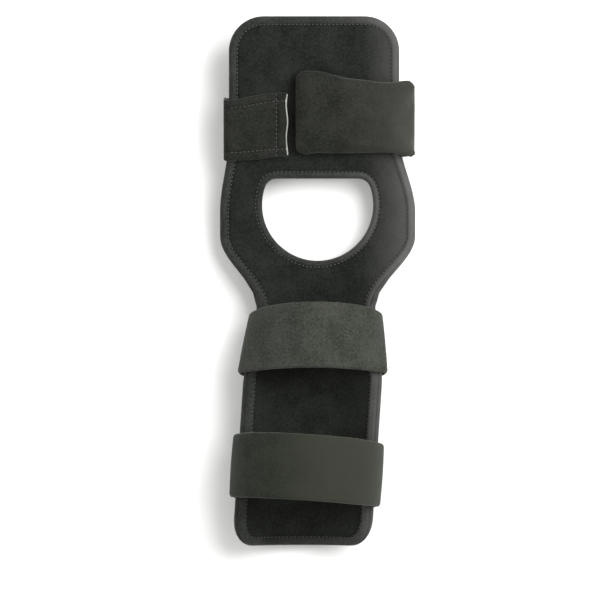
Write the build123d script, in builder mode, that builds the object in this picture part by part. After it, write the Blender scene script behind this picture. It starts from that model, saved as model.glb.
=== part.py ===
"""Dorsal-volar resting hand splint: a padded malleable board with three wide hook-and-loop straps.

Frame: +Y runs distally (towards the fingertips), +X to the right, +Z out of the board's front face.
The splint lies on its back: the strap backs and the finger sling touch z = 0, and the origin is the
middle of the footprint. Units are millimetres.
"""
import os
from math import asin, atan2, cos, degrees, radians, sin, tan

from build123d import *

os.makedirs("parts", exist_ok=True)

# ---- overall sizes -------------------------------------------------------------------------------
hand_length = 205.0         # wrist crease to the distal end of the pan
forearm_length = 175.0      # wrist crease to the proximal end of the trough
pan_width = 122.4           # across the finger pan
palm_width = 140.8          # across the widest place, beside the hand hole
neck_width = 88.0           # across the narrowest place, at the wrist
trough_radius = 60.0        # back face of the forearm trough
trough_half_angle = 58.0    # degrees from the bottom of the trough to its rim
pan_radius = 3000.0         # the pan is very nearly flat
pan_tilt = 8.0              # degrees that the pan rises from the forearm line
sway = 3.8                  # degrees that the forearm line turns in plan
tip_corner = 25.0           # corner radius at the distal end of the flat pattern
end_corner = 20.0           # corner radius at the proximal end of the flat pattern

# ---- stations along the board, measured from the wrist crease ------------------------------------
pan_start = 120.0           # the pan is parallel-sided beyond here
palm_distal = 65.0          # the palm is at its widest between these two
palm_proximal = 47.0
neck_at = -3.0
trough_start = -60.0        # the trough is parallel-sided proximal of here
flat_at = 50.0              # the cross curve has faded out here
curl_at = -20.0             # and is complete here
tilt_end = 25.0             # the pan's rise is blended in between these two
tilt_start = -15.0
sway_at = -20.0             # the forearm line turns here
pan_shift = -1.4            # sideways offset of the pan
palm_shift = 1.2            # sideways offset of the palm

# ---- layers of the board, from the back face forwards --------------------------------------------
cover = 0.8                 # plush laminate skin
foam = 2.35                 # one foam layer over the metal
plate = 1.6                 # malleable aluminium core
layer_gap = 0.05
binding_width = 8.0         # visible width of the edge binding
binding_lap = 0.85          # thickness of the binding round the edge
plate_margin = 12.0         # edge of the board to edge of the plate
plate_slack = 0.1
board = 2 * cover + 2 * foam + plate + 4 * layer_gap

# ---- hand hole -----------------------------------------------------------------------------------
hole_radius = 40.0
hole_at = 70.0              # centre of the round side, from the wrist crease
hole_flat = 19.0            # centre to the flat distal side
hole_corner = 9.0
hole_binding = 6.0

# ---- straps --------------------------------------------------------------------------------------
strap_width = 47.0
strap = 4.0                 # foam laminate
hook_tape = 1.0
tape_gap = 0.1
board_gap = 0.4             # board to hook tape
rim_bend = 6.0              # inner radius of a strap where it turns over the rim
rim_tuck = 3.0              # the bend's centre lies this far inside the rim
end_gap = 0.3               # between two lengths of one strap, at a fold
wrist_strap_at = -35.5      # middle of the strap, from the wrist crease
forearm_strap_from_end = 51.5
wrist_arch = 53.0           # board's back face to the strap's inner face, over the arm
forearm_arch = 67.0
wrist_lean = 12.0           # degrees that a strap leans distally over the arm
forearm_lean = 5.0
fixed_end = 7.0             # degrees past the bottom where the sewn length ends
tab_start = 14.0            # degrees past the bottom where the wrapped tab starts
tab_hook_share = 0.5        # of the wrapped length's back arc that the hook tab covers
anchor_hook_share = 0.6     # of the sewn length's back arc that the anchor tape covers

# ---- finger strap --------------------------------------------------------------------------------
finger_strap_from_tip = 76.0
sling = 4.5                 # thickness of the sling; the fingers lie between it and the pan
sling_width = 48.0
sling_bend = 20.0           # outer radius of the sling's lower corners
sling_clearance = 0.6       # pan's edge to the sling's inner face
left_wall = 3.0
right_wall = 8.0
tab_length = 46.0
tab_width = 46.0
tab_thickness = 3.0
pad_length = 85.5
pad_width = 56.0
pad_thickness = 8.0
pad_offset = 5.0            # the pad sits this much further distal than the sling
pad_edge = 3.0
front_gap = 0.8             # clears the pan's slight curve
lift_gap = 0.3              # sling wall to the piece that folds over it

# ---- derived -------------------------------------------------------------------------------------
tip_y = (hand_length + forearm_length) / 2
end_y = -tip_y
wrist_y = tip_y - hand_length
board_z = strap + tape_gap + hook_tape + board_gap
strap_rise = board_z - strap
trough_half_width = trough_radius * sin(radians(trough_half_angle))
hole_y = wrist_y + hole_at


def ease(y, start, end):
    """0 before start, 1 after end, with a smooth run between them."""
    t = min(max((y - start) / (end - start), 0.0), 1.0)
    return t * t * (3 - 2 * t)


def run(y, knots):
    """Smooth curve through (station, value) knots, flat at each knot."""
    value = knots[0][1]
    for (start, low), (end, high) in zip(knots, knots[1:]):
        value += (high - low) * ease(y, wrist_y + start, wrist_y + end)
    return value


def half_width(y):
    """Half of the board's width in plan."""
    return run(
        y,
        [
            (trough_start, trough_half_width),
            (neck_at, neck_width / 2),
            (palm_proximal, palm_width / 2),
            (palm_distal, palm_width / 2),
            (pan_start, pan_width / 2),
        ],
    )


def centre_x(y):
    """Middle of the board in plan: the forearm line sways, the palm and the pan sit a little off."""
    swing = min(0.0, y - wrist_y - sway_at) * tan(radians(sway))
    shift = run(
        y,
        [(neck_at, 0.0), (palm_proximal, palm_shift), (palm_distal, palm_shift), (pan_start, pan_shift)],
    )
    return swing + shift


def bend_radius(y):
    """Radius of the board's back face across its width."""
    curl = 1 - ease(y, wrist_y + curl_at, wrist_y + flat_at)
    return 1 / (1 / pan_radius + curl * (1 / trough_radius - 1 / pan_radius))


def back_z(y):
    """Height of the board's back face on the centre line."""
    start = wrist_y + tilt_start
    end = wrist_y + tilt_end
    blend = min(max(y - start, 0.0), end - start)
    return board_z + tan(radians(pan_tilt)) * (blend**2 / (2 * (end - start)) + max(y - end, 0.0))


# ---- the board: one curved band of the flat pattern for each layer -------------------------------
corner_steps = 5
run_steps = 5


def stations(inset):
    """(y, cut) pairs along the board, where cut narrows the flat pattern round its end corners."""
    turn = [radians(90 * step / corner_steps) for step in range(corner_steps + 1)]
    tip_r = tip_corner - inset
    end_r = end_corner - inset
    rows = [(end_y + inset + end_r * (1 - cos(a)), end_r * (1 - sin(a))) for a in turn]
    knots = [wrist_y + s for s in (trough_start, neck_at, palm_proximal, palm_distal, pan_start)]
    for start, end in zip(knots, knots[1:]):
        rows += [(start + (end - start) * step / run_steps, 0.0) for step in range(run_steps)]
    rows.append((knots[-1], 0.0))
    rows += [(tip_y - inset - tip_r * (1 - cos(a)), tip_r * (1 - sin(a))) for a in reversed(turn)]
    return rows


def band_section(y, cut, low, high, inset):
    """Face of one board layer across the board at a station."""
    radius = bend_radius(y)
    spread = degrees(asin(half_width(y) / radius) - (inset + cut) / radius)
    plane = Plane((centre_x(y), y, back_z(y)), x_dir=(1, 0, 0), z_dir=(0, -1, 0))
    with BuildSketch(plane) as section:
        with BuildLine():
            back = CenterArc((0, radius), radius - low, -90 - spread, 2 * spread)
            front = CenterArc((0, radius), radius - high, -90 - spread, 2 * spread)
            Line(back @ 0, front @ 0)
            Line(back @ 1, front @ 1)
        make_face()
    return section.sketch


def band(low, high, inset, mode=Mode.ADD):
    """Board layer between two depths from the back face, inset from the flat pattern's edge."""
    sections = [band_section(y, cut, low, high, inset) for y, cut in stations(inset)]
    loft(sections, ruled=True, mode=mode)


def hole_prism(grow, mode):
    """The D-shaped hand hole, grown all round, cut straight through the board."""
    with BuildSketch(Plane.XY.offset(-board)) as outline:
        with Locations((palm_shift, hole_y)):
            Circle(hole_radius)
            with Locations((0, hole_flat + hole_radius)):
                Rectangle(2 * hole_radius, 2 * hole_radius, mode=Mode.SUBTRACT)
        fillet(outline.vertices(), radius=hole_corner)
        if grow > 0:
            offset(amount=grow, mode=Mode.REPLACE)
    extrude(outline.sketch, amount=back_z(tip_y) + 2 * board, mode=mode)


level_back_foam = cover + layer_gap
level_plate = level_back_foam + foam + layer_gap
level_front_foam = level_plate + plate + layer_gap
level_front_cover = level_front_foam + foam + layer_gap
foam_inset = binding_lap + layer_gap
cover_inset = binding_width + layer_gap

with BuildPart() as core_plate:
    band(level_plate, level_plate + plate, plate_margin)
    hole_prism(plate_margin, Mode.SUBTRACT)
core_plate.part.label = "core_plate"

with BuildPart() as back_foam:
    band(level_back_foam, level_front_foam - layer_gap, foam_inset)
    band(level_plate - layer_gap, board, plate_margin - plate_slack, Mode.SUBTRACT)
    hole_prism(foam_inset, Mode.SUBTRACT)
back_foam.part.label = "back_foam"

# the foam round the plate: the part of the back foam that lies between the plate's edge and the hole
with BuildPart() as hole_rim_foam:
    band(level_plate - layer_gap / 2, level_front_foam - layer_gap, plate_margin - plate_slack)
    hole_prism(plate_margin - plate_slack, Mode.INTERSECT)
    hole_prism(foam_inset, Mode.SUBTRACT)
hole_rim_foam.part.label = "hole_rim_foam"

with BuildPart() as front_foam:
    band(level_front_foam, level_front_cover - layer_gap, foam_inset)
    hole_prism(foam_inset, Mode.SUBTRACT)
front_foam.part.label = "front_foam"

with BuildPart() as back_cover:
    band(0, cover, cover_inset)
    hole_prism(hole_binding + layer_gap, Mode.SUBTRACT)
back_cover.part.label = "back_cover"

with BuildPart() as front_cover:
    band(level_front_cover, board, cover_inset)
    hole_prism(hole_binding + layer_gap, Mode.SUBTRACT)
front_cover.part.label = "front_cover"

with BuildPart() as edge_binding:
    band(0, board, 0)
    band(cover, board - cover, binding_lap, Mode.SUBTRACT)
    band(-cover, board + cover, binding_width, Mode.SUBTRACT)
edge_binding.part.label = "edge_binding"

with BuildPart() as foam_room:
    band(cover, board - cover, binding_lap)
    hole_prism(binding_lap, Mode.SUBTRACT)

with BuildPart() as hand_hole_binding:
    band(0, board, binding_width)
    hole_prism(hole_binding, Mode.INTERSECT)
    hole_prism(0, Mode.SUBTRACT)
    add(foam_room.part, mode=Mode.SUBTRACT)
hand_hole_binding.part.label = "hand_hole_binding"


# ---- the two arm straps: each is a loop round the trough and over the arm -------------------------
class StrapSection:
    """Cross-section of a strap's loop at one of its two edges.

    The right side is three tangent arcs, each (centre, inner radius, from angle, to angle): the arch
    over the arm, the bend over the rim and the back arc under the trough. Angles are in degrees from
    the section's +X axis.
    """

    def __init__(self, y, arch_z, turn, lean):
        radius = bend_radius(y)
        rim = asin(half_width(y) / radius) - rim_tuck / radius
        self.back_radius = radius + strap_rise
        self.back_centre = (0.0, back_z(y) + radius)
        self.rim_angle = degrees(rim) - 90
        reach = self.back_radius - rim_bend
        self.rim_centre = (reach * sin(rim), self.back_centre[1] - reach * cos(rim))
        across, up = self.rim_centre
        drop = arch_z - up
        self.arch_radius = (across**2 + drop**2 - rim_bend**2) / (2 * (drop - rim_bend))
        self.arch_centre = (0.0, arch_z - self.arch_radius)
        self.shoulder_angle = degrees(atan2(up - self.arch_centre[1], across))
        x_dir = Vector(cos(turn), -sin(turn), 0)
        y_dir = Vector(sin(turn) * sin(lean), cos(turn) * sin(lean), cos(lean))
        self.plane = Plane((centre_x(y), y, 0), x_dir=x_dir, z_dir=x_dir.cross(y_dir))

        self.arcs = [
            (self.arch_centre, self.arch_radius, 90.0, self.shoulder_angle),
            (self.rim_centre, rim_bend, self.shoulder_angle, self.rim_angle),
            (self.back_centre, self.back_radius, self.rim_angle, -90.0),
        ]


def gap_angle(radius):
    """Angle that half of the gap between two lengths of strap takes at a radius."""
    return degrees(end_gap / 2 / radius)


def ribbon(section, arcs, inner, outer):
    """One closed face that follows a chain of tangent arcs, between two offsets from them."""
    with BuildSketch(section.plane) as face:
        with BuildLine():
            low = [CenterArc(c, r + inner, a, b - a) for c, r, a, b in arcs]
            high = [CenterArc(c, r + outer, a, b - a) for c, r, a, b in arcs]
            Line(low[0] @ 0, high[0] @ 0)
            Line(low[-1] @ 1, high[-1] @ 1)
        make_face()
    return face.sketch


def fixed_arcs(section):
    """Sewn length: behind the trough, round the left rim and up to the top of the arch."""
    left = [((-c[0], c[1]), r, -180 - b, -180 - a) for c, r, a, b in reversed(section.arcs)]
    centre, radius, _, rim = left[0]
    left[0] = (centre, radius, -90 + fixed_end, rim)
    centre, radius, shoulder, top = left[-1]
    left[-1] = (centre, radius, shoulder, top + gap_angle(radius))
    return left


def flap_arcs(section):
    """Opening length: from the top of the arch down to the right shoulder."""
    centre, radius, start, end = section.arcs[0]
    slack = gap_angle(radius)
    return [(centre, radius, start - slack, end + slack)]


def wrap_arcs(section):
    """Wrapped length: over the right rim and back behind the trough to the tab's end."""
    (centre, radius, shoulder, rim), back = section.arcs[1:]
    bend = (centre, radius, shoulder - gap_angle(radius), rim)
    return [bend, (*back[:3], -90 + tab_start)]


def tab_hook_arcs(section):
    """Hook tape under the wrapped tab."""
    centre, radius, rim, end = wrap_arcs(section)[-1]
    return [(centre, radius, end + tab_hook_share * (rim - end), end)]


def anchor_hook_arcs(section):
    """Hook tape under the sewn end."""
    centre, radius, start, rim = fixed_arcs(section)[0]
    return [(centre, radius, start, start + anchor_hook_share * (rim - start))]


def length(edges, arcs, inner, outer):
    """One length of strap or tape, ruled between its two edges."""
    loft([ribbon(edge, arcs(edge), inner, outer) for edge in edges], ruled=True)


arm_straps = {
    "wrist": (wrist_y + wrist_strap_at, board_z + wrist_arch, 0.0, radians(wrist_lean)),
    "forearm": (end_y + forearm_strap_from_end, board_z + forearm_arch, radians(sway), radians(forearm_lean)),
}
strap_parts = {}
for name, (middle, arch_z, turn, lean) in arm_straps.items():
    edges = [StrapSection(middle + side * strap_width / 2, arch_z, turn, lean) for side in (-1, 1)]

    with BuildPart() as strap_fixed:
        length(edges, fixed_arcs, 0, strap)
    strap_parts[name + "_strap_fixed"] = strap_fixed

    with BuildPart() as strap_flap:
        length(edges, flap_arcs, 0, strap)
    strap_parts[name + "_strap_flap"] = strap_flap

    with BuildPart() as strap_wrap:
        length(edges, wrap_arcs, 0, strap)
    strap_parts[name + "_strap_wrap"] = strap_wrap

    with BuildPart() as hook_tab:
        length(edges, tab_hook_arcs, -tape_gap - hook_tape, -tape_gap)
    strap_parts[name + "_hook_tab"] = hook_tab

    with BuildPart() as anchor_hook:
        length(edges, anchor_hook_arcs, -tape_gap - hook_tape, -tape_gap)
    strap_parts[name + "_anchor_hook"] = anchor_hook

for name, built in strap_parts.items():
    built.part.label = name

# ---- finger strap: a sling behind the pan, a hook tab on the left and a foam pad on the right -----
finger_y = tip_y - finger_strap_from_tip
tilt = radians(pan_tilt)
pan_face = Plane((0, finger_y, back_z(finger_y)), x_dir=(1, 0, 0), z_dir=(0, -sin(tilt), cos(tilt)))
near_y = finger_y - max(sling_width / 2, pad_width / 2 - pad_offset)
left_edge = centre_x(near_y) - half_width(near_y) - sling_clearance
right_edge = centre_x(near_y) + half_width(near_y) + sling_clearance
left_outer = left_edge - left_wall
right_outer = right_edge + right_wall
tape_level = board * cos(tilt) + front_gap
front_level = tape_level + hook_tape + tape_gap
wall_top = front_level - lift_gap
wall_blank = back_z(tip_y) + board

with BuildPart() as finger_sling:
    with BuildSketch(Plane.XZ.offset(-finger_y - sling_width / 2)):
        with BuildLine():
            Polyline(
                (left_outer, wall_blank),
                (left_outer, 0),
                (right_outer, 0),
                (right_outer, wall_blank),
                (right_edge, wall_blank),
                (right_edge, sling),
                (left_edge, sling),
                (left_edge, wall_blank),
                close=True,
            )
        make_face()
        fillet(vertices().group_by(Axis.Y)[0], radius=sling_bend)
        fillet(vertices().group_by(Axis.Y)[1], radius=sling_bend - sling)
    extrude(amount=sling_width)
    split(bisect_by=pan_face.offset(wall_top), keep=Keep.BOTTOM)
finger_sling.part.label = "finger_sling"

with BuildPart() as finger_tab:
    with BuildSketch(pan_face.offset(front_level)):
        with Locations((left_outer + tab_length / 2, 0)):
            RectangleRounded(tab_length, tab_width, tab_thickness)
    extrude(amount=tab_thickness)
finger_tab.part.label = "finger_tab"

with BuildPart() as finger_tab_hook:
    with BuildSketch(pan_face.offset(tape_level)):
        with Locations((left_outer + left_wall + tab_length / 2, 0)):
            Rectangle(tab_length - 2 * left_wall, tab_width - 2 * left_wall)
    extrude(amount=hook_tape)
finger_tab_hook.part.label = "finger_tab_hook"

with BuildPart() as finger_pad:
    with BuildSketch(pan_face.offset(front_level)):
        with Locations((right_outer - pad_length / 2, pad_offset)):
            RectangleRounded(pad_length, pad_width, pad_thickness)
    extrude(amount=pad_thickness)
    fillet(faces().sort_by(Axis(pan_face.origin, pan_face.z_dir))[-1].edges(), radius=pad_edge)
finger_pad.part.label = "finger_pad"

with BuildPart() as finger_pad_hook:
    with BuildSketch(pan_face.offset(tape_level)):
        with Locations((right_outer - pad_length + sling_width / 2, 0)):
            Rectangle(sling_width - 2 * pad_offset, sling_width - 2 * pad_offset)
    extrude(amount=hook_tape)
finger_pad_hook.part.label = "finger_pad_hook"

# ---- write one file per piece ----------------------------------------------------------------------
board_parts = [
    core_plate,
    back_foam,
    hole_rim_foam,
    front_foam,
    back_cover,
    front_cover,
    edge_binding,
    hand_hole_binding,
]
finger_parts = [finger_sling, finger_tab, finger_tab_hook, finger_pad, finger_pad_hook]
for built in board_parts + list(strap_parts.values()) + finger_parts:
    export_step(built.part, "parts/" + built.part.label + ".step")
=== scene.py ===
"""Resting hand splint: padded board with a stitched edge, two arm straps and a finger strap."""
import math

import bmesh
import bpy
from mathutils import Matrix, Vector, geometry, kdtree, noise


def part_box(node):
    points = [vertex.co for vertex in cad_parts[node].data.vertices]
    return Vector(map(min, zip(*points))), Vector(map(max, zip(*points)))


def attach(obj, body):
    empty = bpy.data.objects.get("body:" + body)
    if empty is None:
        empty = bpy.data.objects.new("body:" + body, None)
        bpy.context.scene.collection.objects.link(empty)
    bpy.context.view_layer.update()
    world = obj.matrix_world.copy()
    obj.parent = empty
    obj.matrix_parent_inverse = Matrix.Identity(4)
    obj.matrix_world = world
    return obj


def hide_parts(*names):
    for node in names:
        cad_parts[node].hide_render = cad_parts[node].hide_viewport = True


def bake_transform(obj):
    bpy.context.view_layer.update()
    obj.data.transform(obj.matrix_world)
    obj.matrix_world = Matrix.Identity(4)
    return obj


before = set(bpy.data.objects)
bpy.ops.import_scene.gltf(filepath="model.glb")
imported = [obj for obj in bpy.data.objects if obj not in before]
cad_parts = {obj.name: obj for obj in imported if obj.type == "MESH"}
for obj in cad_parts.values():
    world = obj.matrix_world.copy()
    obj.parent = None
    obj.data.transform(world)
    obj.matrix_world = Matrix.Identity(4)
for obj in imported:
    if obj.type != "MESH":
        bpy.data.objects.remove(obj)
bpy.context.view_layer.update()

# ---- the board's driving sizes, in metres and degrees --------------------------------------------
TIP_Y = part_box("edge_binding")[1].y
END_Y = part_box("edge_binding")[0].y
HAND_LENGTH = 0.205
WRIST_Y = TIP_Y - HAND_LENGTH
PAN_WIDTH = 0.1224
PALM_WIDTH = 0.1408
NECK_WIDTH = 0.088
TROUGH_RADIUS = 0.060
TROUGH_HALF_ANGLE = 58.0
PAN_RADIUS = 3.0
PAN_TILT = math.radians(8.0)
SWAY = math.radians(3.8)
TIP_CORNER = 0.025
END_CORNER = 0.020
BOARD = 0.0081
STRAP = 0.004
BACK_Z = 0.0055
STRAP_RISE = BACK_Z - STRAP

# stations along the board, from the wrist crease
TROUGH_START = -0.060
NECK_AT = -0.003
PALM_PROXIMAL = 0.047
PALM_DISTAL = 0.065
PAN_START = 0.120
CURL_AT = -0.020
FLAT_AT = 0.050
TILT_START = -0.015
TILT_END = 0.025
SWAY_AT = -0.020
PAN_SHIFT = -0.0014
PALM_SHIFT = 0.0012

HOLE_Y = WRIST_Y + 0.070
HOLE_RADIUS = 0.040
HOLE_FLAT = 0.019
HOLE_CORNER = 0.009


def ease(value, start, end):
    """0 before start, 1 after end, with a smooth run between them."""
    t = min(max((value - start) / (end - start), 0.0), 1.0)
    return t * t * (3 - 2 * t)


def mix(a, b, t):
    return a + (b - a) * t


def run(y, knots):
    """Smooth curve through (station, value) knots, flat at each knot."""
    value = knots[0][1]
    for (start, low), (end, high) in zip(knots, knots[1:]):
        value += (high - low) * ease(y, WRIST_Y + start, WRIST_Y + end)
    return value


def half_width(y):
    """Half of the board's width in plan."""
    trough = TROUGH_RADIUS * math.sin(math.radians(TROUGH_HALF_ANGLE))
    return run(
        y,
        [
            (TROUGH_START, trough),
            (NECK_AT, NECK_WIDTH / 2),
            (PALM_PROXIMAL, PALM_WIDTH / 2),
            (PALM_DISTAL, PALM_WIDTH / 2),
            (PAN_START, PAN_WIDTH / 2),
        ],
    )


def centre_x(y):
    """Middle of the board in plan."""
    shift = run(
        y,
        [(NECK_AT, 0.0), (PALM_PROXIMAL, PALM_SHIFT), (PALM_DISTAL, PALM_SHIFT), (PAN_START, PAN_SHIFT)],
    )
    return shift + min(0.0, y - WRIST_Y - SWAY_AT) * math.tan(SWAY)


def bend_radius(y):
    """Radius of the board's back face across its width."""
    curl = 1 - ease(y, WRIST_Y + CURL_AT, WRIST_Y + FLAT_AT)
    return 1 / (1 / PAN_RADIUS + curl * (1 / TROUGH_RADIUS - 1 / PAN_RADIUS))


def back_z(y):
    """Height of the board's back face on the centre line."""
    start, end = WRIST_Y + TILT_START, WRIST_Y + TILT_END
    blend = min(max(y - start, 0.0), end - start)
    return BACK_Z + math.tan(PAN_TILT) * (blend**2 / (2 * (end - start)) + max(y - end, 0.0))


def board_point(u, y, depth):
    """Point of the bent board: u across its back face, y along it, depth forwards from the back."""
    radius = bend_radius(y)
    angle = u / radius
    reach = radius - depth
    return Vector((centre_x(y) + reach * math.sin(angle), y, back_z(y) + radius - reach * math.cos(angle)))


def flat_half(y):
    """Half of the flat pattern's width."""
    radius = bend_radius(y)
    return radius * math.asin(half_width(y) / radius)


# ---- mesh helpers ---------------------------------------------------------------------------------
def new_piece(name, verts, faces, material, smooth=True):
    """Object at the origin from vertices and faces, with its normals pointing out."""
    mesh = bpy.data.meshes.new(name)
    sharp = set()
    mesh.from_pydata([tuple(v) for v in verts], [], faces)
    tool = bmesh.new()
    tool.from_mesh(mesh)
    bmesh.ops.recalc_face_normals(tool, faces=tool.faces)
    tool.to_mesh(mesh)
    tool.free()
    mesh.polygons.foreach_set("use_smooth", [smooth] * len(mesh.polygons))
    for face in mesh.polygons:
        if face.loop_total > 4:
            for key in face.edge_keys:
                sharp.add(key)
    for edge in mesh.edges:
        edge.use_edge_sharp = tuple(sorted(edge.vertices)) in sharp
    obj = bpy.data.objects.new(name, mesh)
    bpy.context.scene.collection.objects.link(obj)
    mesh.materials.append(material)
    return obj


def tube(rings, closed_run):
    """Vertices and faces of rings joined in order; the run closes on itself or is capped."""
    count = len(rings[0])
    verts = [p for ring in rings for p in ring]
    faces = []
    for i in range(len(rings) - (0 if closed_run else 1)):
        j = (i + 1) % len(rings)
        for k in range(count):
            m = (k + 1) % count
            faces.append((i * count + k, i * count + m, j * count + m, j * count + k))
    if not closed_run:
        faces.append(tuple(range(count - 1, -1, -1)))
        faces.append(tuple((len(rings) - 1) * count + k for k in range(count)))
    return verts, faces


def resampled(loop, spacing):
    """A closed loop of 2-D points with even spacing."""
    lengths = [(loop[(i + 1) % len(loop)] - p).length for i, p in enumerate(loop)]
    total = sum(lengths)
    count = max(8, round(total / spacing))
    result = []
    i = 0
    done = 0.0
    for step in range(count):
        target = total * step / count
        while done + lengths[i] < target:
            done += lengths[i]
            i += 1
        a, b = loop[i], loop[(i + 1) % len(loop)]
        result.append(a.lerp(b, (target - done) / lengths[i]))
    return result


def inset(loop, distance):
    """The loop moved to its left by a distance, with light smoothing of the normals."""
    count = len(loop)
    result = []
    for i, p in enumerate(loop):
        along = (loop[(i + 1) % count] - loop[i - 1]).normalized()
        result.append(p + Vector((-along.y, along.x)) * distance)
    return result


def within(u, y, loop):
    """True if a point lies inside a closed loop."""
    inside = False
    j = len(loop) - 1
    for i, p in enumerate(loop):
        q = loop[j]
        if (p.y > y) != (q.y > y) and u < (q.x - p.x) * (y - p.y) / (q.y - p.y) + p.x:
            inside = not inside
        j = i
    return inside


def outline_loop():
    """Flat pattern's outline, anticlockwise, as (u, y) points."""
    steps = 24
    right = []
    for k in range(steps + 1):
        a = math.radians(90 * k / steps)
        y = END_Y + END_CORNER * (1 - math.cos(a))
        right.append(Vector((flat_half(y) - END_CORNER * (1 - math.sin(a)), y)))
    low, high = END_Y + END_CORNER, TIP_Y - TIP_CORNER
    rows = 160
    for k in range(1, rows):
        y = mix(low, high, k / rows)
        right.append(Vector((flat_half(y), y)))
    for k in range(steps + 1):
        a = math.radians(90 * k / steps)
        y = high + TIP_CORNER * math.sin(a)
        right.append(Vector((flat_half(y) - TIP_CORNER * (1 - math.cos(a)), y)))
    left = [Vector((-p.x, p.y)) for p in reversed(right)]
    return right + left


def hole_loop():
    """Hand hole's D-shaped outline, clockwise, as (u, y) points."""
    fillet_x = math.sqrt((HOLE_RADIUS - HOLE_CORNER) ** 2 - (HOLE_FLAT - HOLE_CORNER) ** 2)
    turn = math.atan2(HOLE_FLAT - HOLE_CORNER, fillet_x)
    points = []
    for k in range(13):
        a = mix(math.pi / 2, turn, k / 12)
        rise = HOLE_FLAT - HOLE_CORNER + HOLE_CORNER * math.sin(a)
        points.append((fillet_x + HOLE_CORNER * math.cos(a), rise))
    for k in range(1, 80):
        a = mix(turn, -math.pi - turn, k / 80)
        points.append((HOLE_RADIUS * math.cos(a), HOLE_RADIUS * math.sin(a)))
    points += [(-x, y) for x, y in reversed(points[:13])]
    loop = []
    for x, y in points:
        radius = bend_radius(HOLE_Y + y)
        across = PALM_SHIFT + x - centre_x(HOLE_Y + y)
        loop.append(Vector((radius * math.asin(across / radius), HOLE_Y + y)))
    return loop


# ---- materials ------------------------------------------------------------------------------------
class Maths:
    """A shader socket that takes part in Python sums."""

    def __init__(self, kit, socket):
        self.kit, self.socket = kit, socket

    def _do(self, operation, a, b):
        return self.kit.node("ShaderNodeMath", {"operation": operation}, {0: a, 1: b})

    def __add__(self, other):
        return self._do("ADD", self, other)

    __radd__ = __add__

    def __mul__(self, other):
        return self._do("MULTIPLY", self, other)

    __rmul__ = __mul__

    def __sub__(self, other):
        return self._do("SUBTRACT", self, other)

    def __rsub__(self, other):
        return self._do("SUBTRACT", other, self)


class Kit:
    """Builds one material's nodes."""

    def __init__(self, name):
        self.material = bpy.data.materials.new(name)
        self.material.use_nodes = True
        self.tree = self.material.node_tree
        self.shader = self.tree.nodes["Principled BSDF"]

    def node(self, kind, settings=None, values=None, out=0):
        made = self.tree.nodes.new(kind)
        for key, value in (settings or {}).items():
            setattr(made, key, value)
        self.fill(made, values or {})
        return Maths(self, made.outputs[out])

    def fill(self, made, values):
        for key, value in values.items():
            if isinstance(value, Maths):
                self.tree.links.new(value.socket, made.inputs[key])
            else:
                made.inputs[key].default_value = value

    def place(self):
        return self.node("ShaderNodeTexCoord", out="Object")

    def mottle(self, where, scale, detail=2.0, rough=0.5):
        """Noise from 0 to 1."""
        return self.node(
            "ShaderNodeTexNoise", {}, {"Vector": where, "Scale": scale, "Detail": detail, "Roughness": rough}
        )

    def blend(self, factor, a, b):
        return self.node(
            "ShaderNodeMix", {"data_type": "RGBA"}, {"Factor": factor, 6: a, 7: b}, out=2
        )

    def spread(self, value, low, high):
        """Value mapped from low..high to 0..1."""
        return self.node("ShaderNodeMapRange", {}, {"Value": value, 1: low, 2: high, 3: 0.0, 4: 1.0})

    def bump(self, height, distance, strength=1.0, normal=None):
        values = {"Height": height, "Distance": distance, "Strength": strength}
        if normal is not None:
            values["Normal"] = normal
        return self.node("ShaderNodeBump", {}, values)

    def finish(self, **values):
        self.fill(self.shader, {key.replace("_", " "): value for key, value in values.items()})
        return self.material


def plush(name, dark, light, painted_light_side, nap=700.0, nap_depth=0.00045, sheen=0.16):
    """Brushed loop fabric: fine nap, soft patches of tone and a little sheen.

    The third argument is (from, to, colour) and is painted light: across object X, from the first value to
    the second, the colour is blended towards the given colour, standing in for how the key light falls on
    that side.
    """
    kit = Kit(name)
    where = kit.place()
    fine = kit.mottle(where, nap, 3.0, 0.65)
    patch = kit.mottle(where, 55.0, 4.0, 0.6)
    tone = kit.spread(fine * 0.6 + patch * 0.4, 0.40, 0.60)
    colour = kit.blend(tone, (*dark, 1), (*light, 1))
    across = kit.node("ShaderNodeSeparateXYZ", {}, {"Vector": where}, out="X")
    # Painted light: blend towards the set colour along object X on one side, broken up a little by the soft
    # patches.
    start, end, lit_colour = painted_light_side
    painted_light = kit.spread(across, start, end) * (patch * 0.8 + 0.6)
    colour = kit.blend(painted_light, colour, (*lit_colour, 1))
    loops = kit.mottle(where, nap * 1.7, 2.0, 0.6)
    height = fine * 0.7 + loops * 0.3
    kit.shader.inputs["Sheen Weight"].default_value = sheen
    kit.shader.inputs["Sheen Roughness"].default_value = 0.4
    kit.shader.inputs["Sheen Tint"].default_value = (0.8, 0.85, 0.8, 1)
    kit.shader.inputs["Specular IOR Level"].default_value = 0.12
    return kit.finish(
        Base_Color=colour,
        Roughness=kit.spread(patch, 0.2, 0.8) * 0.1 + 0.86,
        Normal=kit.bump(height, nap_depth),
    )


def plain(name, colour, roughness, metallic=0.0, grain=900.0, depth=0.0001):
    """Quiet finish for trim and for the pieces inside the board."""
    kit = Kit(name)
    fine = kit.mottle(kit.place(), grain, 2.0)
    tint = kit.blend(fine, (*[c * 0.8 for c in colour], 1), (*[c * 1.2 for c in colour], 1))
    return kit.finish(
        Base_Color=tint,
        Roughness=fine * 0.1 + (roughness - 0.05),
        Metallic=metallic,
        Normal=kit.bump(fine, depth),
    )


# The third tuple of each call is painted light. It blends the fabric towards the given colour along object X
# on one side, standing in for how the key light falls there.
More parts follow.
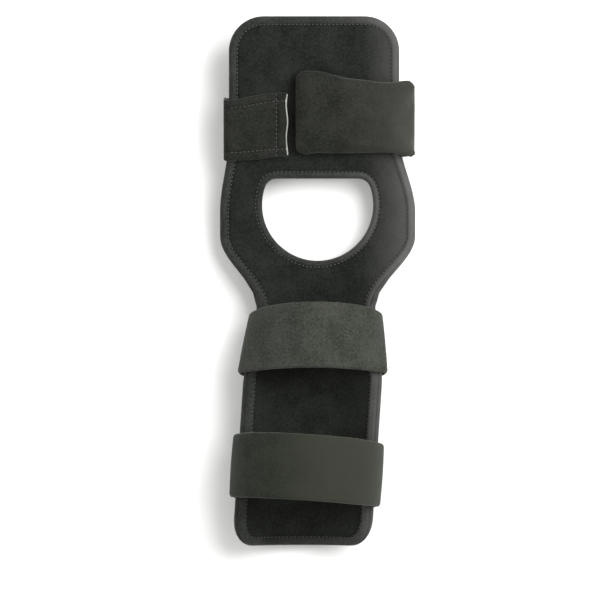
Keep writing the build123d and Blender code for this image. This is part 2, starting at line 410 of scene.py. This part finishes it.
board_plush = plush(
    "board_plush",
    (0.0045, 0.0055, 0.0042),
    (0.0150, 0.0165, 0.0138),
    (0.034, 0.078, (0.060, 0.060, 0.057)),
)
# Painted highlight: the rolled edges are the board's own fabric, given colours about twice as light as the
# board's so the rims look lit.
binding_plush_painted_highlight = plush(
    "binding_plush_painted_highlight",
    (0.012, 0.0135, 0.0115),
    (0.032, 0.034, 0.030),
    (0.010, 0.080, (0.085, 0.085, 0.082)),
)
wrist_plush = plush(
    "wrist_plush",
    (0.019, 0.0205, 0.0160),
    (0.043, 0.045, 0.038),
    (0.06, 0.09, (0.04, 0.04, 0.036)),
)
forearm_plush = plush(
    "forearm_plush",
    (0.0065, 0.0080, 0.0052),
    (0.021, 0.024, 0.017),
    (-0.055, 0.01, (0.026, 0.028, 0.021)),
)
finger_plush = plush(
    "finger_plush",
    (0.0060, 0.0070, 0.0050),
    (0.0185, 0.0195, 0.0160),
    (0.015, 0.095, (0.042, 0.041, 0.036)),
)
hook_plastic = plain("hook_plastic", (0.02, 0.021, 0.02), 0.55)
cut_edge = plain("cut_edge", (0.30, 0.30, 0.285), 0.7)
sewing_thread = plain("sewing_thread", (0.042, 0.044, 0.040), 0.6, grain=3000.0)
foam_black = plain("foam_black", (0.010, 0.0105, 0.010), 0.9)
plate_metal = plain("plate_metal", (0.75, 0.76, 0.77), 0.35, metallic=1.0)

for node_name, finish in {
    "core_plate": plate_metal,
    "back_foam": foam_black,
    "front_foam": foam_black,
    "hole_rim_foam": foam_black,
    "wrist_hook_tab": hook_plastic,
    "wrist_anchor_hook": hook_plastic,
    "forearm_hook_tab": hook_plastic,
    "forearm_anchor_hook": hook_plastic,
    "finger_pad_hook": hook_plastic,
}.items():
    for material_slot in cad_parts[node_name].material_slots:
        material_slot.material = finish

# ---- camera, floor and light ----------------------------------------------------------------------
camera_data = bpy.data.cameras.new("camera")
camera = bpy.data.objects.new("camera", camera_data)
bpy.context.scene.collection.objects.link(camera)
bpy.context.scene.camera = camera
CAMERA_HEIGHT = 4.0
VIEW_WIDTH = 0.432
VIEW_LEVEL = 0.018
CAMERA_X, CAMERA_Y = -0.0115, -0.0133
camera.location = (CAMERA_X, CAMERA_Y, CAMERA_HEIGHT)
camera_data.sensor_width = 36.0
camera_data.lens = camera_data.sensor_width * (CAMERA_HEIGHT - VIEW_LEVEL) / VIEW_WIDTH


def paper():
    """Pale matt floor."""
    kit = Kit("paper")
    tone = kit.mottle(kit.place(), 30.0)
    return kit.finish(Base_Color=kit.blend(tone, (0.86, 0.86, 0.85, 1), (0.88, 0.88, 0.87, 1)), Roughness=0.9)


floor_half = 6.0
floor = new_piece(
    "floor",
    [(x * floor_half, y * floor_half, 0) for x, y in ((-1, -1), (1, -1), (1, 1), (-1, 1))],
    [(0, 1, 2, 3)],
    paper(),
    smooth=False,
)

world = bpy.data.worlds.new("soft_sky")
bpy.context.scene.world = world
world.use_nodes = True
world.node_tree.nodes["Background"].inputs["Color"].default_value = (1, 1, 1, 1)
world.node_tree.nodes["Background"].inputs["Strength"].default_value = 0.62
bpy.context.scene.view_settings.view_transform = "Standard"


def soft_light(name, place, target, size, power):
    """Square area light aimed at a point."""
    data = bpy.data.lights.new(name, "AREA")
    data.size = size
    data.energy = power
    lamp = bpy.data.objects.new(name, data)
    lamp.location = place
    lamp.rotation_mode = "QUATERNION"
    lamp.rotation_quaternion = (Vector(target) - Vector(place)).to_track_quat("-Z", "Y")
    bpy.context.scene.collection.objects.link(lamp)


soft_light("key", (0.62, 0.42, 1.0), (0, 0.02, 0), 0.9, 23)
soft_light("fill", (-0.9, -0.3, 1.4), (0, 0, 0), 1.2, 8)

# ---- the board ------------------------------------------------------------------------------------
ROLL = 0.0058           # outline to the stitched groove
HOLE_ROLL = 0.0046
GROOVE = 0.0008         # depth of the groove below the faces
LOFT_RUN = 0.007        # the padding has risen to its full height this far from the groove
GRID = 0.0026

outline = resampled(outline_loop(), 0.0022)
hole = resampled(hole_loop(), 0.0022)


def roll_piece(name, loop, width, material):
    """Turned and stitched edge that runs round a loop of the flat pattern."""
    section = [
        (width, BOARD - GROOVE - 0.0006),
        (width * 0.93, BOARD - GROOVE * 0.4),
        (width * 0.80, BOARD + 0.0003),
        (width * 0.58, BOARD + 0.0006),
        (width * 0.34, BOARD + 0.0001),
        (width * 0.17, BOARD - 0.0009),
        (width * 0.05, BOARD - 0.0021),
        (0.0, BOARD * 0.64),
        (0.0004, BOARD * 0.55),
        (0.0014, BOARD * 0.5),
    ]
    section += [(d, BOARD - depth) for d, depth in reversed(section[:-1])]
    offsets = {d: inset(loop, d) for d, _ in section}
    rings = []
    for i in range(len(loop)):
        rings.append([board_point(offsets[d][i].x, offsets[d][i].y, depth) for d, depth in section])
    verts, faces = tube(rings, True)
    return new_piece(name, verts, faces, material)


edge_roll = roll_piece("edge_roll", outline, ROLL, binding_plush_painted_highlight)
hole_roll = roll_piece("hole_roll", hole, HOLE_ROLL, binding_plush_painted_highlight)


def cover_piece(name, front, material):
    """Padded face of the board between the two stitched grooves, as a thin closed shell."""
    outer = inset(outline, ROLL - 0.0003)
    inner = inset(hole, HOLE_ROLL - 0.0003)
    edge_tree = kdtree.KDTree(len(outer) + len(inner))
    for i, p in enumerate(outer + inner):
        edge_tree.insert((p.x, p.y, 0), i)
    edge_tree.balance()
    points = outer + inner
    edges = [(i, (i + 1) % len(outer)) for i in range(len(outer))]
    edges += [(len(outer) + i, len(outer) + (i + 1) % len(inner)) for i in range(len(inner))]
    rows = int((TIP_Y - END_Y) / (GRID * 0.866)) + 1
    for row in range(rows):
        y = END_Y + row * GRID * 0.866
        limit = flat_half(min(max(y, END_Y), TIP_Y))
        columns = int(limit / GRID) + 1
        for column in range(-columns, columns + 1):
            u = (column + 0.5 * (row % 2)) * GRID
            near = edge_tree.find((u, y, 0))[2]
            if near > GRID * 0.6 and within(u, y, outer) and not within(u, y, inner):
                points.append(Vector((u, y)))
    verts2, _, tris, _, _, _ = geometry.delaunay_2d_cdt(points, edges, [], 0, 1e-7)
    kept = []
    for tri in tris:
        c = sum((verts2[i] for i in tri), Vector((0, 0))) / 3
        if within(c.x, c.y, outer) and not within(c.x, c.y, inner):
            kept.append(tri)
    side = 1 if front else -1
    face_depth = BOARD if front else 0.0
    top, low = [], []
    for p in verts2:
        near = edge_tree.find((p.x, p.y, 0))[2]
        rise = ease(near, 0, LOFT_RUN)
        soft = noise.noise(Vector((p.x * 28, p.y * 28, 3.0 * side))) * 0.0004 * rise
        top.append(board_point(p.x, p.y, face_depth + side * (-GROOVE * (1 - rise) + 0.0007 * rise + soft)))
        low.append(board_point(p.x, p.y, face_depth - side * (GROOVE + 0.0007)))
    count = len(verts2)
    faces = [tuple(t) for t in kept] + [tuple(count + i for i in reversed(t)) for t in kept]
    borders = {}
    for tri in kept:
        for a, b in ((tri[0], tri[1]), (tri[1], tri[2]), (tri[2], tri[0])):
            borders[(a, b)] = 1
    for a, b in list(borders):
        if (b, a) not in borders:
            faces.append((b, a, count + a, count + b))
    obj = new_piece(name, top + low, faces, material)
    return obj


front_face = cover_piece("front_face", True, board_plush)
back_face = cover_piece("back_face", False, board_plush)
for piece, node_name, slot_name in (
    (edge_roll, "edge_binding", "binding"),
    (hole_roll, "hand_hole_binding", "binding"),
    (front_face, "front_cover", "plush_loop"),
    (back_face, "back_cover", "plush_loop"),
):
    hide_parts(node_name)
    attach(piece, "root")

# ---- arm straps -----------------------------------------------------------------------------------
RIM_BEND = 0.006
RIM_TUCK = 0.0046
STRAP_WIDTH = 0.047
WRIST_STRAP_Y = WRIST_Y - 0.0355
FOREARM_STRAP_Y = END_Y + 0.0515
WRIST_ARCH_Z = BACK_Z + 0.053
FOREARM_ARCH_Z = BACK_Z + 0.067
WRIST_LEAN = math.radians(12.0)
FOREARM_LEAN = math.radians(5.0)
FIXED_END = 7.0
TAB_START = 14.0


class LoopEdge:
    """One edge of a strap's loop: tangent arcs in the edge's own plane, as (centre, radius, from, to)."""

    def __init__(self, y, arch_z, turn, lean):
        radius = bend_radius(y)
        rim = math.asin(half_width(y) / radius) - RIM_TUCK / radius
        back_radius = radius + STRAP_RISE
        back_centre = (0.0, back_z(y) + radius)
        rim_angle = math.degrees(rim) - 90
        reach = back_radius - RIM_BEND
        rim_centre = (reach * math.sin(rim), back_centre[1] - reach * math.cos(rim))
        across, up = rim_centre
        drop = arch_z - up
        arch_radius = (across**2 + drop**2 - RIM_BEND**2) / (2 * (drop - RIM_BEND))
        arch_centre = (0.0, arch_z - arch_radius)
        shoulder = math.degrees(math.atan2(up - arch_centre[1], across))
        self.right = [
            (arch_centre, arch_radius, 90.0, shoulder),
            (rim_centre, RIM_BEND, shoulder, rim_angle),
            (back_centre, back_radius, rim_angle, -90.0 + TAB_START),
        ]
        back, bend, arch = [((-c[0], c[1]), r, -180 - b, -180 - a) for c, r, a, b in reversed(self.right)]
        self.left = [(back[0], back[1], -90.0 + FIXED_END, back[3]), bend, arch]
        self.origin = Vector((centre_x(y), y, 0))
        self.x_dir = Vector((math.cos(turn), -math.sin(turn), 0))
        level = math.sin(lean)
        self.y_dir = Vector((math.sin(turn) * level, math.cos(turn) * level, math.cos(lean)))

    def point(self, arcs, at, out):
        """Point at a place along a chain of arcs (2.5 is half way along the third), out from it."""
        index = min(int(at), len(arcs) - 1)
        centre, radius, start, end = arcs[index]
        angle = math.radians(mix(start, end, at - index))
        across = centre[0] + (radius + out) * math.cos(angle)
        up = centre[1] + (radius + out) * math.sin(angle)
        return self.origin + self.x_dir * across + self.y_dir * up


def ribbon_section(half, thick, crown, steps=12):
    """(across, out) points round a foam strap: full round edges and a slightly crowned outer face."""
    round_edge = thick / 2
    flat = half - round_edge
    points = []
    for k in range(7):
        a = math.radians(-90 + 180 * k / 6)
        points.append((flat + round_edge * math.cos(a), round_edge + round_edge * math.sin(a)))
    for k in range(1, steps):
        t = k / steps
        points.append((mix(flat, -flat, t), thick + crown * math.sin(math.pi * t)))
    for k in range(7):
        a = math.radians(90 + 180 * k / 6)
        points.append((-flat + round_edge * math.cos(a), round_edge + round_edge * math.sin(a)))
    for k in range(1, steps):
        points.append((mix(-flat, flat, k / steps), 0.0))
    return points


def strap_ribbon(name, stations, place, material, thick=0.0036, half=STRAP_WIDTH / 2, ends=(None, None)):
    """Foam strap: place(at, across share, out) maps it into the model; ends gives each end's corner radius.

    stations are (at, distance from start) pairs along it.
    """
    total = stations[-1][1]
    rings = []
    for at, run_length in stations:
        narrow, thin = 0.0, 1.0
        for corner, distance in ((ends[0], run_length), (ends[1], total - run_length)):
            if corner and distance < corner:
                narrow = corner - math.sqrt(max(corner**2 - (corner - distance) ** 2, 0))
            nose = thick * 0.5
            if corner and distance < nose:
                thin = 0.35 + 0.65 * math.sqrt(max(1 - (1 - distance / nose) ** 2, 0))
        ring = []
        for across, out in ribbon_section(half - narrow, thick, 0.0004):
            ring.append(place(at, across / half, thick / 2 + (out - thick / 2) * thin))
        rings.append(ring)
    verts, faces = tube(rings, False)
    return new_piece(name, verts, faces, material)


def chain_stations(edge, arcs, start, end, spacing=0.0016):
    """Evenly spaced (place along the arcs, distance) pairs between two places along a chain."""
    fine = [mix(start, end, k / 2000) for k in range(2001)]
    points = [edge.point(arcs, at, 0.0) for at in fine]
    distances = [0.0]
    for a, b in zip(points, points[1:]):
        distances.append(distances[-1] + (b - a).length)
    total = distances[-1]
    count = max(4, round(total / spacing))
    stations = []
    i = 0
    for k in range(count + 1):
        target = total * k / count
        while i < len(distances) - 2 and distances[i + 1] < target:
            i += 1
        step = distances[i + 1] - distances[i]
        stations.append((mix(fine[i], fine[i + 1], (target - distances[i]) / step if step else 0), target))
    for k, extra in enumerate((0.0003, 0.0008)):
        stations.insert(1 + k, (mix(stations[0][0], stations[1 + k][0], extra / spacing), extra))
    return stations


def arm_strap(name, middle, arch_z, turn, lean, fabric):
    """The two visible lengths of an arm strap, split where the flap is rigid."""
    edges = [LoopEdge(middle + side * STRAP_WIDTH / 2, arch_z, turn, lean) for side in (-1, 1)]
    split = 0.55
    first = [edge.left + [edge.right[0]] for edge in edges]
    second = [edge.right for edge in edges]

    def placed(chains):
        def place(at, across, out):
            low = edges[0].point(chains[0], at, out)
            high = edges[1].point(chains[1], at, out)
            turns = [k for k, arc in enumerate(chains[0]) if arc[1] == RIM_BEND]
            gather = max(math.exp(-(((at - k - 0.5) / 0.55) ** 2)) for k in turns)
            return low.lerp(high, (across * (1 - 0.085 * gather) + 1) / 2)

        return place

    over = strap_ribbon(
        name + "_strap_over",
        chain_stations(edges[0], first[0], 0.0, 3.0 + split),
        placed(first),
        fabric,
        ends=(0.004, None),
    )
    wrap = strap_ribbon(
        name + "_strap_under",
        chain_stations(edges[0], second[0], split, 3.0),
        placed(second),
        fabric,
        ends=(None, 0.006),
    )
    top = (edges[0].point(edges[0].right, 0.0, 0.0) + edges[1].point(edges[1].right, 0.0, 0.0)) / 2
    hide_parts(name + "_strap_fixed", name + "_strap_flap")
    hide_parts(name + "_strap_wrap")
    fold_start = top + Vector((-0.018, 0, -0.004))
    fold_end = top + Vector((0.010, 0, 0.010))
    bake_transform(over)
    shoulder = (edges[0].point(second[0], 1.0, 0.0) + edges[1].point(second[1], 1.0, 0.0)) / 2
    above = (edges[0].point(second[0], 0.86, 0.0) + edges[1].point(second[1], 0.86, 0.0)) / 2
    below = (edges[0].point(second[0], 1.6, 0.0) + edges[1].point(second[1], 1.6, 0.0)) / 2
    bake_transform(wrap)
    return over, wrap


arm_strap("wrist", WRIST_STRAP_Y, WRIST_ARCH_Z, 0.0, WRIST_LEAN, wrist_plush)
arm_strap("forearm", FOREARM_STRAP_Y, FOREARM_ARCH_Z, SWAY, FOREARM_LEAN, forearm_plush)

# ---- finger strap ---------------------------------------------------------------------------------
FINGER_Y = TIP_Y - 0.076
PAN_ORIGIN = Vector((0, FINGER_Y, back_z(FINGER_Y)))
PAN_ALONG = Vector((0, math.cos(PAN_TILT), math.sin(PAN_TILT)))
PAN_OUT = Vector((0, -math.sin(PAN_TILT), math.cos(PAN_TILT)))
SLING = 0.0045
SLING_WIDTH = 0.048
LEFT_WALL = 0.0022
RIGHT_WALL = 0.008
LEFT_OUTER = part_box("finger_sling")[0].x + 0.0010
RIGHT_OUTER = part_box("finger_sling")[1].x
FRONT_LEVEL = BOARD * math.cos(PAN_TILT) + 0.0008 + 0.0011
TAB_LENGTH = 0.045
TAB_ROOT = 0.0222        # half width of the strap where it folds over the pan's left edge
SLANT = 0.0042           # the left end of the strap sits this much nearer the wrist
TAB_WIDTH = 0.046
TAB = 0.003
PAD_LENGTH = 0.0855
PAD_WIDTH = 0.056
PAD = 0.008
PAD_OFFSET = 0.005
JOIN_LEVEL = -0.004      # height over the pan's back face where the sling meets the tab and the pad


def pan_point(x, along, out):
    """Point in the pan's own frame: x across, along its slope, out from its back face."""
    return PAN_ORIGIN + Vector((x, 0, 0)) + PAN_ALONG * along + PAN_OUT * out


def path_stations(path, spacing):
    """Even steps along a polyline of (x, out, thickness) rows, as (row, distance) pairs."""
    lengths = [math.hypot(b[0] - a[0], b[1] - a[1]) for a, b in zip(path, path[1:])]
    total = sum(lengths)
    count = round(total / spacing)
    rows = []
    i, done = 0, 0.0
    for k in range(count + 1):
        target = total * k / count
        while i < len(lengths) - 1 and done + lengths[i] < target:
            done += lengths[i]
            i += 1
        t = min((target - done) / lengths[i], 1.0)
        rows.append((i + t, target))
    return rows


def corner(centre, radius, start, end, thick_start, thick_end, steps=10):
    """Rows of a bend, seen along the board."""
    rows = []
    for k in range(steps + 1):
        a = math.radians(mix(start, end, k / steps))
        rows.append(
            (
                centre[0] + radius * math.cos(a),
                centre[1] + radius * math.sin(a),
                mix(thick_start, thick_end, k / steps),
            )
        )
    return rows


def along_path(path, at):
    """Row and tangent at a place on a path that turns clockwise round its inside."""
    i = min(int(at), len(path) - 2)
    t = at - i
    row = [mix(a, b, t) for a, b in zip(path[i], path[i + 1])]
    low, high = path[max(i - 1, 0)], path[min(i + 2, len(path) - 1)]
    tangent = Vector((high[0] - low[0], high[1] - low[1])).normalized()
    return row, tangent


def sling_piece():
    """Foam sling behind the pan, from the left join to the right one, under the fingers."""
    floor_gap = 0.0002
    drop = PAN_ORIGIN.z
    bend = 0.020
    left_x, right_x = LEFT_OUTER, RIGHT_OUTER - 0.0012
    path = [(left_x, JOIN_LEVEL, LEFT_WALL)]
    path += corner((left_x + bend, bend + floor_gap - drop), bend, 180, 270, LEFT_WALL, SLING)
    path += corner((right_x - bend, bend + floor_gap - drop), bend, 270, 360, SLING, RIGHT_WALL)
    path += [(right_x, JOIN_LEVEL, RIGHT_WALL)]
    rings = []
    for at, distance in path_stations(path, 0.0025):
        (x, out, thick), tangent = along_path(path, at)
        inward = Vector((-tangent.y, tangent.x))
        rise = ease(out + drop, 0.004, JOIN_LEVEL + drop)
        side = (right_x - x) / (right_x - left_x)
        ring = []
        for across, level in ribbon_section(mix(SLING_WIDTH / 2, TAB_ROOT, side), thick, 0.0):
            px = x + inward.x * level
            pz = out + inward.y * level
            along = across - SLANT * side
            slope = along * math.tan(PAN_TILT) * rise
            ring.append(Vector((px, FINGER_Y + along, PAN_ORIGIN.z + pz + slope)))
        rings.append(ring)
    verts, faces = tube(rings, False)
    return new_piece("sling", verts, faces, finger_plush)


TAB_TURN = 0.0045


def tab_middle(x):
    """How far the tab's middle line lies towards the wrist, and its half width, at x."""
    reach = ease(x, LEFT_OUTER, LEFT_OUTER + TAB_LENGTH)
    return -SLANT * (1 - reach), mix(TAB_ROOT, 0.0236, reach)


def tab_piece():
    """Stitched strap that folds over the left edge of the pan."""
    turn = TAB_TURN
    path = [(LEFT_OUTER, JOIN_LEVEL, LEFT_WALL), (LEFT_OUTER, FRONT_LEVEL + TAB - turn, TAB)]
    path += corner((LEFT_OUTER + turn, FRONT_LEVEL + TAB - turn), turn, 180, 90, TAB, TAB)
    path += [(LEFT_OUTER + TAB_LENGTH * share, FRONT_LEVEL + TAB, TAB) for share in (0.5, 1)]
    stations = path_stations(path, 0.0009)
    total = stations[-1][1]
    rings = []
    for at, distance in stations:
        (x, out, thick), tangent = along_path(path, at)
        inward = Vector((tangent.y, -tangent.x))
        left = total - distance
        over = ease(distance, 0.012, 0.020)
        seam = math.exp(-(((left - TAB_HEM) / 0.0012) ** 2)) * over
        middle, wide = tab_middle(x)
        half = wide + 0.0003 * math.sin(distance * 210) * over
        ring = []
        for across, level in ribbon_section(half, thick, 0.0, 56):
            share = abs(across) / half
            top = ease(level, thick * 0.55, thick)
            border = math.exp(-(((abs(across) - half + TAB_BORDER) / 0.0011) ** 2)) * over
            pucker = noise.noise(Vector((x * 300, across * 300, 0))) * 0.0005 * over
            puff = 0.0010 * (1 - share**6) * over * ease(left, -0.001, 0.005)
            dip = max(border, seam if share < 0.96 else 0) * 0.0017
            lift = top * (puff - dip + pucker)
            base = Vector((x, out)) + inward * (thick - level - lift)
            wave = tab_wave(across) * ease(left, 0.010, 0.0)
            ring.append(pan_point(base.x + wave, middle + across, base.y))
        rings.append(ring)
    verts, faces = tube(rings, False)
    return new_piece("finger_tab_strap", verts, faces, finger_plush)


TAB_HEM = 0.0070         # end of the tab to its cross seam
TAB_BORDER = 0.0062      # edge of the tab to the seams along it


def tab_wave(along):
    """The tab's end isn't cut quite straight."""
    return 0.0005 * math.sin(along * 260 + 1.0)


def tab_hook_tape():
    """Hook tape under the tab."""
    rings = []
    for k in range(25):
        x = mix(LEFT_OUTER + 0.008, LEFT_OUTER + TAB_LENGTH - 0.0003, k / 24)
        middle, half = tab_middle(x)
        low, high = FRONT_LEVEL - 0.0010, FRONT_LEVEL - 0.0001
        rings.append(
            [
                pan_point(x, middle + side * (half - 0.0015), out)
                for side, out in ((-1, low), (1, low), (1, high), (-1, high))
            ]
        )
    verts, faces = tube(rings, False)
    return new_piece("tab_hook_tape", verts, faces, hook_plastic, smooth=False)


def tab_cut_edge():
    """Pale cut edge of the hook tape at the end of the tab."""
    rings = []
    for k in range(41):
        along = mix(-TAB_WIDTH / 2 + 0.001, TAB_WIDTH / 2 - 0.001, k / 40)
        x = LEFT_OUTER + TAB_LENGTH + tab_wave(along)
        low, high = FRONT_LEVEL - 0.0006, FRONT_LEVEL + 0.0022 + 0.0003 * math.sin(along * 170)
        corners = ((x - 0.0004, low), (x + 0.0010, low), (x + 0.0009, high), (x - 0.0004, high))
        rings.append([pan_point(px, along, out) for px, out in corners])
    verts, faces = tube(rings, False)
    return new_piece("tab_cut_edge", verts, faces, cut_edge)


def pad_piece():
    """Foam pad that covers the fingers' front and turns down over the right edge of the pan."""
    slim = 0.0007
    thick = PAD - 2 * slim
    turn = 0.0085
    outer = RIGHT_OUTER + 0.0008
    top = FRONT_LEVEL + PAD - slim
    path = [(outer, JOIN_LEVEL, RIGHT_WALL - 2 * slim), (outer, top - turn, thick)]
    path += corner((outer - turn, top - turn), turn, 0, 90, thick, thick)
    path += [(outer - PAD_LENGTH * 0.5, top, thick), (outer - PAD_LENGTH - 0.0012, top + 0.0022, thick)]
    rings = []
    stations = path_stations(path, 0.0022)
    total = stations[-1][1]
    for at, distance in stations:
        (x, out, wall), tangent = along_path(path, at)
        inward = Vector((-tangent.y, tangent.x))
        over = ease(distance, 0.004, 0.026)
        reach = min(max((distance - 0.022) / 0.068, 0.0), 1.0)
        middle = mix(0.0, PAD_OFFSET, over) + mix(-0.0002, 0.0038, reach) * over
        half = mix(SLING_WIDTH / 2, PAD_WIDTH / 2, over) + mix(0.0008, 0.0033, reach) * over - slim
        bend_here = math.exp(-(((distance - 0.020) / 0.010) ** 2))
        left = total - distance
        bulge = 0.0014 * math.exp(-(((left - 0.017) / 0.014) ** 2))
        middle += bulge / 2
        half += bulge / 2 - 0.0028 * (1 - ease(left, -0.001, 0.0055)) + 0.0012 * bend_here
        ring = []
        for across, level in ribbon_section(half, wall, 0.0):
            share = across / half
            pull = bend_here * (0.0032 - 0.0066 * abs(share) ** 3)
            base = Vector((x - pull, out)) + inward * level
            ring.append(pan_point(base.x, middle + across, base.y))
        rings.append(ring)
    verts, faces = tube(rings, False)
    pad = new_piece("finger_pad_cover", verts, faces, finger_plush)
    held_below = JOIN_LEVEL + 0.004
    swell(pad, PAD_VOXEL, PAD_SWELL_LIMIT, lambda p: (p - PAN_ORIGIN).dot(PAN_OUT) < held_below)
    return pad


PAD_VOXEL = 0.0021
PAD_SWELL_LIMIT = 0.0032
CLOTH_FRAMES = 20


def swell(obj, voxel, limit, is_held):
    """Inflate a stuffed piece with cloth pressure, no point moving further than the limit."""
    mesh = obj.data
    remesh = obj.modifiers.new("even", "REMESH")
    remesh.mode = "VOXEL"
    remesh.voxel_size = voxel
    apply_modifiers(obj)
    start = [v.co.copy() for v in obj.data.vertices]
    held = obj.vertex_groups.new(name="held")
    held.add([v.index for v in obj.data.vertices if is_held(v.co)], 1.0, "REPLACE")
    cloth = obj.modifiers.new("cloth", "CLOTH")
    cloth.settings.quality = 5
    cloth.settings.mass = 0.15
    cloth.settings.tension_stiffness = 12
    cloth.settings.compression_stiffness = 12
    cloth.settings.shear_stiffness = 8
    cloth.settings.bending_stiffness = 0.4
    cloth.settings.use_pressure = True
    cloth.settings.uniform_pressure_force = 5.0
    cloth.settings.vertex_group_mass = "held"
    cloth.settings.effector_weights.gravity = 0.0
    cloth.point_cache.frame_start = 1
    cloth.point_cache.frame_end = CLOTH_FRAMES
    for frame_number in range(1, CLOTH_FRAMES + 1):
        bpy.context.scene.frame_set(frame_number)
    apply_modifiers(obj)
    bpy.context.scene.frame_set(1)
    for v, was in zip(obj.data.vertices, start):
        move = v.co - was
        if move.length > limit:
            v.co = was + move * (limit / move.length)
    obj.vertex_groups.clear()
    smooth = obj.modifiers.new("smooth", "SMOOTH")
    smooth.factor = 0.5
    smooth.iterations = 7
    finer = obj.modifiers.new("finer", "SUBSURF")
    finer.levels = finer.render_levels = 1
    apply_modifiers(obj)
    obj.data.polygons.foreach_set("use_smooth", [True] * len(obj.data.polygons))


def apply_modifiers(obj):
    """Bake an object's modifiers into its mesh."""
    evaluated = obj.evaluated_get(bpy.context.evaluated_depsgraph_get())
    mesh = bpy.data.meshes.new_from_object(evaluated)
    materials = list(obj.data.materials)
    obj.modifiers.clear()
    obj.data = mesh
    mesh.materials.clear()
    for finish in materials:
        mesh.materials.append(finish)


sling = sling_piece()
tab = tab_piece()
tab_edge = tab_cut_edge()
pad = pad_piece()
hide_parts("finger_sling")
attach(sling, "root")
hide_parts("finger_tab")
tab_tape = tab_hook_tape()
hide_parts("finger_tab_hook")
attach(tab_tape, "left_tab")
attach(tab_edge, "left_tab")
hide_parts("finger_pad")


# ---- stitches -------------------------------------------------------------------------------------
def stitch_tree():
    """Even stitches laid along every line of a wire mesh."""
    tree = bpy.data.node_groups.new("stitches", "GeometryNodeTree")
    face = tree.interface
    face.new_socket("Geometry", in_out="INPUT", socket_type="NodeSocketGeometry")
    for name in ("Spacing", "Length", "Radius"):
        face.new_socket(name, in_out="INPUT", socket_type="NodeSocketFloat")
    face.new_socket("Thread", in_out="INPUT", socket_type="NodeSocketMaterial")
    face.new_socket("Geometry", in_out="OUTPUT", socket_type="NodeSocketGeometry")

    def add(kind, **settings):
        made = tree.nodes.new(kind)
        for key, value in settings.items():
            setattr(made, key, value)
        return made

    link = tree.links.new
    given, result = add("NodeGroupInput"), add("NodeGroupOutput")
    curve = add("GeometryNodeMeshToCurve")
    steps = add("GeometryNodeResampleCurve")
    steps.mode = "LENGTH"
    ball = add("GeometryNodeMeshUVSphere")
    ball.inputs["Segments"].default_value = 6
    ball.inputs["Rings"].default_value = 4
    ball.inputs["Radius"].default_value = 1.0
    halved = add("ShaderNodeMath", operation="MULTIPLY")
    halved.inputs[1].default_value = 0.5
    scale = add("ShaderNodeCombineXYZ")
    shaped = add("GeometryNodeTransform")
    tangent = add("GeometryNodeInputTangent")
    turned = add("FunctionNodeAlignRotationToVector", axis="Z")
    placed = add("GeometryNodeInstanceOnPoints")
    real = add("GeometryNodeRealizeInstances")
    thread = add("GeometryNodeSetMaterial")
    link(given.outputs["Geometry"], curve.inputs[0])
    link(curve.outputs[0], steps.inputs["Curve"])
    link(given.outputs["Spacing"], steps.inputs["Length"])
    link(given.outputs["Length"], halved.inputs[0])
    link(given.outputs["Radius"], scale.inputs["X"])
    link(given.outputs["Radius"], scale.inputs["Y"])
    link(halved.outputs[0], scale.inputs["Z"])
    link(ball.outputs["Mesh"], shaped.inputs["Geometry"])
    link(scale.outputs[0], shaped.inputs["Scale"])
    link(tangent.outputs[0], turned.inputs["Vector"])
    link(steps.outputs[0], placed.inputs["Points"])
    link(shaped.outputs[0], placed.inputs["Instance"])
    link(turned.outputs[0], placed.inputs["Rotation"])
    link(placed.outputs[0], real.inputs[0])
    link(real.outputs[0], thread.inputs["Geometry"])
    link(given.outputs["Thread"], thread.inputs["Material"])
    link(thread.outputs[0], result.inputs[0])
    return tree


STITCHES = stitch_tree()


def stitched(name, lines, spacing=0.0029, length=0.0019, radius=0.00042):
    """One plain mesh of stitches along (points, is closed) lines."""
    verts, edges = [], []
    for points, closed in lines:
        first = len(verts)
        verts += points
        count = len(points)
        edges += [(first + i, first + i + 1) for i in range(count - 1)]
        if closed:
            edges.append((first + count - 1, first))
    wire = bpy.data.meshes.new(name)
    wire.from_pydata([tuple(v) for v in verts], edges, [])
    obj = bpy.data.objects.new(name, wire)
    bpy.context.scene.collection.objects.link(obj)
    sewing = obj.modifiers.new("sewing", "NODES")
    sewing.node_group = STITCHES
    values = {"Spacing": spacing, "Length": length, "Radius": radius, "Thread": sewing_thread}
    for item in STITCHES.interface.items_tree:
        if item.in_out == "INPUT" and item.name in values:
            sewing[item.identifier] = values[item.name]
    apply_modifiers(obj)
    if not obj.data.materials:
        obj.data.materials.append(sewing_thread)
    obj.data.polygons.foreach_set("use_smooth", [True] * len(obj.data.polygons))
    return obj


def groove_line(loop, width, depth):
    """Closed stitch line that lies in the groove beside a rolled edge."""
    return ([board_point(p.x, p.y, depth) for p in inset(loop, width + 0.0002)], True)


STITCH_STANDS = 0.0005   # height of a stitch line over its groove's floor
edge_stitches = stitched(
    "edge_stitches",
    [
        groove_line(loop, width, depth)
        for loop, width in ((outline, ROLL), (hole, HOLE_ROLL))
        for depth in (BOARD - GROOVE + STITCH_STANDS, GROOVE - STITCH_STANDS)
    ],
)
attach(edge_stitches, "root")

tab_end = LEFT_OUTER + TAB_LENGTH
tab_top = FRONT_LEVEL + TAB - 0.0003


def tab_line(x, share):
    """Point on the tab's seams: share 1 and -1 are the borders along it."""
    middle, half = tab_middle(x)
    return pan_point(x, middle + share * (half - TAB_BORDER), tab_top)


tab_stitches = stitched(
    "tab_stitches",
    [
        ([tab_line(mix(LEFT_OUTER + 0.006, tab_end - 0.003, k / 20), side) for k in range(21)], False)
        for side in (-1, 1)
    ]
    + [([tab_line(tab_end - TAB_HEM, mix(-1.25, 1.25, k / 20)) for k in range(21)], False)],
)
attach(tab_stitches, "left_tab")

tab_fold = pan_point(LEFT_OUTER, 0, FRONT_LEVEL - 0.004)
tab_flat = pan_point(LEFT_OUTER + 0.008, 0, FRONT_LEVEL + TAB)
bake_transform(tab)
pad_fold = pan_point(RIGHT_OUTER, 0, FRONT_LEVEL - 0.006)
pad_flat = pan_point(RIGHT_OUTER - 0.010, 0, FRONT_LEVEL + PAD)
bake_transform(pad)
